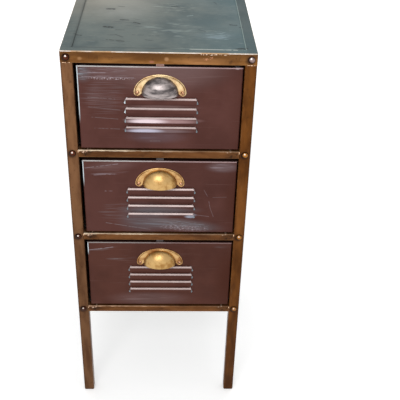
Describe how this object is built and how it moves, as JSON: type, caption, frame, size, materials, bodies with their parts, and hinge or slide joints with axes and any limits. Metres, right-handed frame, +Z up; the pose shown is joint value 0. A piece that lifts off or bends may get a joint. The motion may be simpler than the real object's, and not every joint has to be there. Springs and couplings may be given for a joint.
{
  "type": "metal drawer cabinet",
  "caption": "Narrow metal cabinet on square-tube legs, with sliding louvred drawers, each with a cup pull.",
  "frame": {"origin": "middle of the whole footprint, cup pulls included, at floor level", "axes": "+Z up, front of the cabinet towards -Y, +X to the right as seen from the front"},
  "size_m": [0.32, 0.358, 0.775],
  "materials": {
    "frame_bronze": "satin bronze-brown lacquer, worn bright at the edges",
    "foot_plug": "brown plastic end plug",
    "top_slate": "slate grey-green lacquer, lightly brushed and scuffed",
    "panel_slate": "slate grey-green lacquer",
    "drawer_enamel": "dark maroon-brown enamel with fine scratches",
    "tray_enamel": "plain dark maroon enamel",
    "runner_zinc": "zinc-plated sheet",
    "bolt_bronze": "dark bronze domed bolts",
    "pull_brass": "antique golden brass",
    "pull_pewter": "golden flange with a tarnished pewter hood"
  },
  "bodies": {
    "cabinet": {"leg_front_left": "frame_bronze", "leg_front_right": "frame_bronze", "leg_rear_left": "frame_bronze", "leg_rear_right": "frame_bronze", "foot_plugs": "foot_plug", "top_rail_front": "frame_bronze", "top_rail_right": "frame_bronze", "top_rail_rear": "frame_bronze", "top_rail_left": "frame_bronze", "mid_rail_upper": "frame_bronze", "mid_rail_lower": "frame_bronze", "bottom_rail_front": "frame_bronze", "bottom_rail_rear": "frame_bronze", "bottom_rail_left": "frame_bronze", "bottom_rail_right": "frame_bronze", "top_panel": "top_slate", "side_panel_left": "panel_slate", "side_panel_right": "panel_slate", "back_panel": "panel_slate", "bottom_panel": "panel_slate", "corner_spigots": "runner_zinc", "runner_1_left": "runner_zinc", "runner_1_right": "runner_zinc", "runner_2_left": "runner_zinc", "runner_2_right": "runner_zinc", "runner_3_left": "runner_zinc", "runner_3_right": "runner_zinc", "front_bolts": "bolt_bronze", "front_nuts": "runner_zinc"},
    "drawer_1": {"drawer_front_1": "drawer_enamel", "drawer_tray_1": "tray_enamel", "stop_straps_1": "runner_zinc", "top_tab_1": "drawer_enamel", "cup_pull_1": "pull_pewter", "pull_screws_1": "pull_brass", "pull_nuts_1": "runner_zinc"},
    "drawer_2": {"drawer_front_2": "drawer_enamel", "drawer_tray_2": "tray_enamel", "stop_straps_2": "runner_zinc", "top_tab_2": "drawer_enamel", "cup_pull_2": "pull_brass", "pull_screws_2": "pull_brass", "pull_nuts_2": "runner_zinc"},
    "drawer_3": {"drawer_front_3": "drawer_enamel", "drawer_tray_3": "tray_enamel", "stop_straps_3": "runner_zinc", "top_tab_3": "drawer_enamel", "cup_pull_3": "pull_brass", "pull_screws_3": "pull_brass", "pull_nuts_3": "runner_zinc"}
  },
  "joints": [
    {"name": "drawer_1_slide", "type": "slide", "parent": "cabinet", "child": "drawer_1", "axis": [0, -1, 0], "range_m": [0, 0.25]},
    {"name": "drawer_2_slide", "type": "slide", "parent": "cabinet", "child": "drawer_2", "axis": [0, -1, 0], "range_m": [0, 0.25]},
    {"name": "drawer_3_slide", "type": "slide", "parent": "cabinet", "child": "drawer_3", "axis": [0, -1, 0], "range_m": [0, 0.25]}
  ]
}
